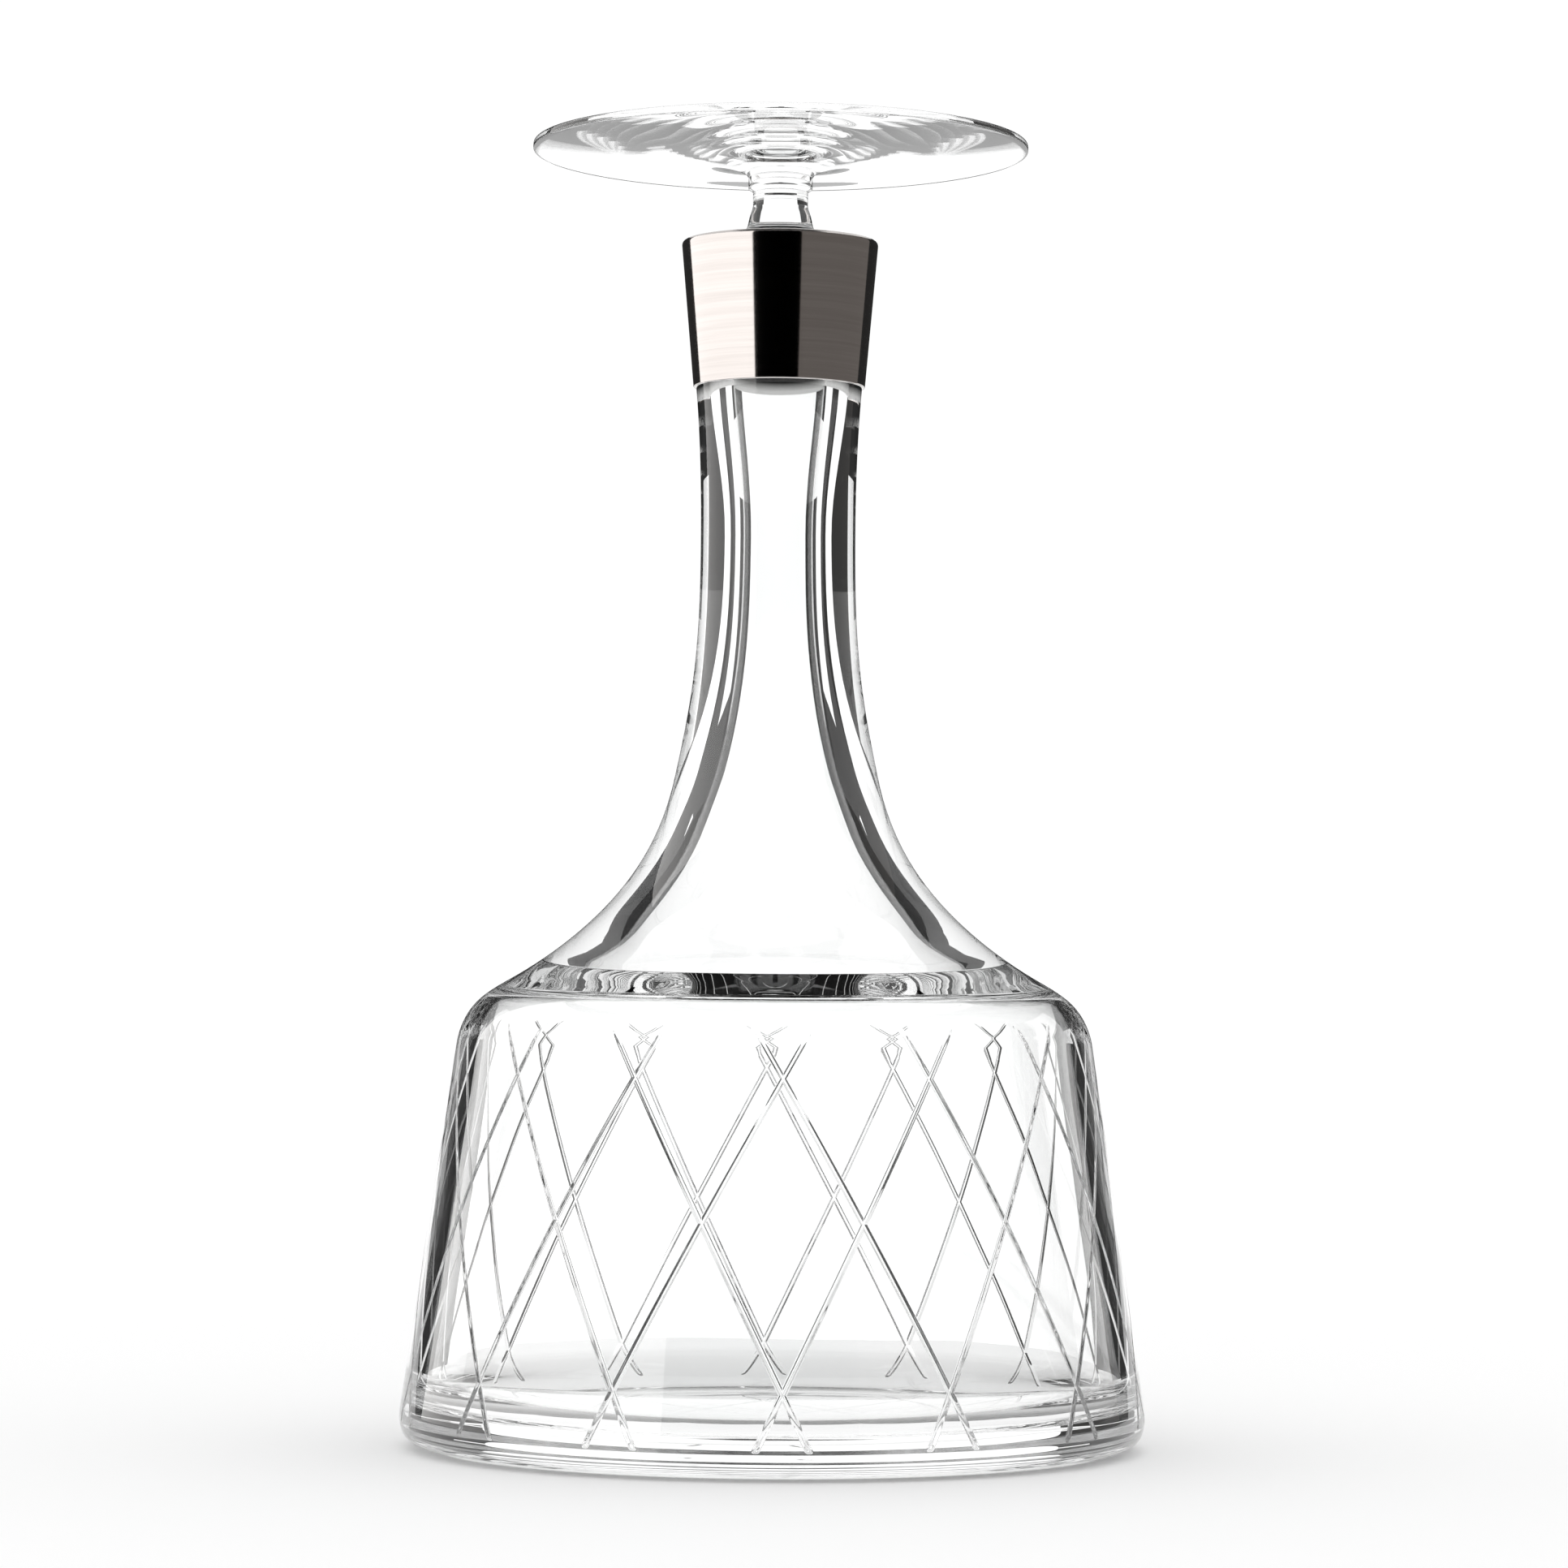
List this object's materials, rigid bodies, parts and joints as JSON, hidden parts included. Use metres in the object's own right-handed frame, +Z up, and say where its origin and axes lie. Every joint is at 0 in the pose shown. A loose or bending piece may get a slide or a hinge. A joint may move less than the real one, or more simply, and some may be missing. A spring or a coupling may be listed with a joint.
{
  "type": "wine decanter with stopper",
  "caption": "Clear cut crystal decanter with a wide low body, a waisted neck in a metal collar and a lift-out disc-topped stopper, for serving wine at a bar or table.",
  "frame": {"origin": "centre of the foot ring, on the surface the decanter stands on", "axes": "+Z up along the axis that every piece is turned about, X and Y horizontal"},
  "size_m": [0.1598, 0.1596, 0.2808],
  "materials": {
    "crystal": "polished",
    "collar_metal": "finely brushed, dark silver",
    "cement": "cured adhesive",
    "seal": "clear silicone"
  },
  "bodies": {
    "glass_body": {"vessel": "crystal", "neck_collar": "collar_metal", "collar_cement": "cement"},
    "seal_pair": {"upper_seal_ring": "seal", "lower_seal_ring": "seal"},
    "stopper_body": {"stopper": "crystal"}
  },
  "joints": [
    {"name": "stopper_lift", "type": "slide", "parent": "glass_body", "child": "seal_pair", "axis": [0, 0, 1], "range_m": [0, 0.055]},
    {"name": "stopper_turn", "type": "hinge", "parent": "seal_pair", "child": "stopper_body", "pos_m": [0, 0, 0.248], "axis": [0, 0, 1], "continuous": true}
  ]
}
